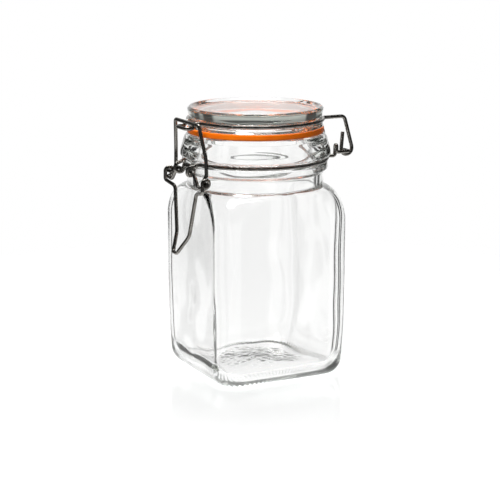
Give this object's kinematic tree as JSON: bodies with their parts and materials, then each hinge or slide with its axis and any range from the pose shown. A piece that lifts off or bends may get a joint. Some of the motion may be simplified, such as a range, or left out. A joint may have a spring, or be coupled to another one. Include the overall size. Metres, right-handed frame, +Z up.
{
  "type": "lidded glass canister",
  "caption": "Square glass jar with a hinged glass lid, a rubber sealing ring and a wire lever latch that clamps the lid shut.",
  "frame": {"origin": "centre of the jar's base, on the surface that it stands on", "axes": "+Z up along the jar's axis; the lid hinge is at the back (+Y) and the latch at the front (-Y); X runs along the hinge axis"},
  "size_m": [0.0644, 0.0805, 0.1151],
  "materials": {
    "clear_glass": "clear pressed glass, slightly wavy",
    "orange_rubber": "smooth satin moulded rubber",
    "steel_wire": "drawn steel wire, bright with fine die lines"
  },
  "bodies": {
    "root": {"glass_jar": "clear_glass", "neck_wire": "steel_wire"},
    "lid": {"glass_lid": "clear_glass", "gasket": "orange_rubber", "lid_wire": "steel_wire"},
    "lever": {"lever": "steel_wire"},
    "yoke": {"yoke": "steel_wire"}
  },
  "joints": [
    {"name": "lid_hinge", "type": "hinge", "parent": "root", "child": "lid", "pos_m": [0, 0.0381, 0.0947], "axis": [-1, 0, 0], "range_deg": [0, 110]},
    {"name": "lever_pivot", "type": "hinge", "parent": "root", "child": "lever", "pos_m": [0, -0.0331, 0.09], "axis": [-1, 0, 0], "range_deg": [0, 100]},
    {"name": "yoke_pivot", "type": "hinge", "parent": "lever", "child": "yoke", "pos_m": [0, -0.0322, 0.0866], "axis": [1, 0, 0], "range_deg": [0, 130.5]}
  ],
  "couplings": [
    {"joint": "yoke_pivot", "follows": "lever_pivot", "ratio": 1.3}
  ]
}
